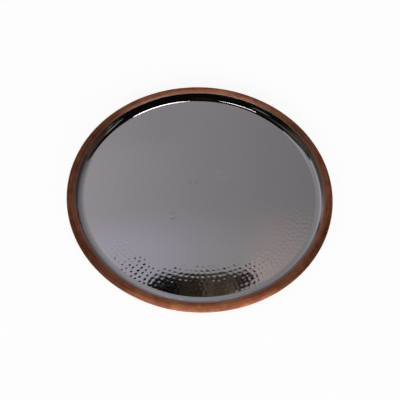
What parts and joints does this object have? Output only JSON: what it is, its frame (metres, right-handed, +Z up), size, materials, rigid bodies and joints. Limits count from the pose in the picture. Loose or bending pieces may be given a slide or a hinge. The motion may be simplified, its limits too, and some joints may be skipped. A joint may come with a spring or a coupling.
{
  "type": "serving tray",
  "caption": "Shallow round serving tray with a hammered polished steel inside, a copper outside and a copper rim rolled around a wire.",
  "frame": {"origin": "centre of the underside of the base, on the surface that the tray stands on", "axes": "+Z up out of the tray, along its axis; the joint between the ends of the rim wire is at +Y, the back"},
  "size_m": [0.3, 0.3, 0.0099],
  "materials": {
    "copper": "satin copper with a light patina",
    "polished_steel": "mirror-polished stainless steel, hammered on the floor",
    "wire": "plain drawn wire"
  },
  "bodies": {
    "root": {"copper_shell": "copper", "steel_liner": "polished_steel", "rim_wire": "wire"}
  },
  "joints": []
}
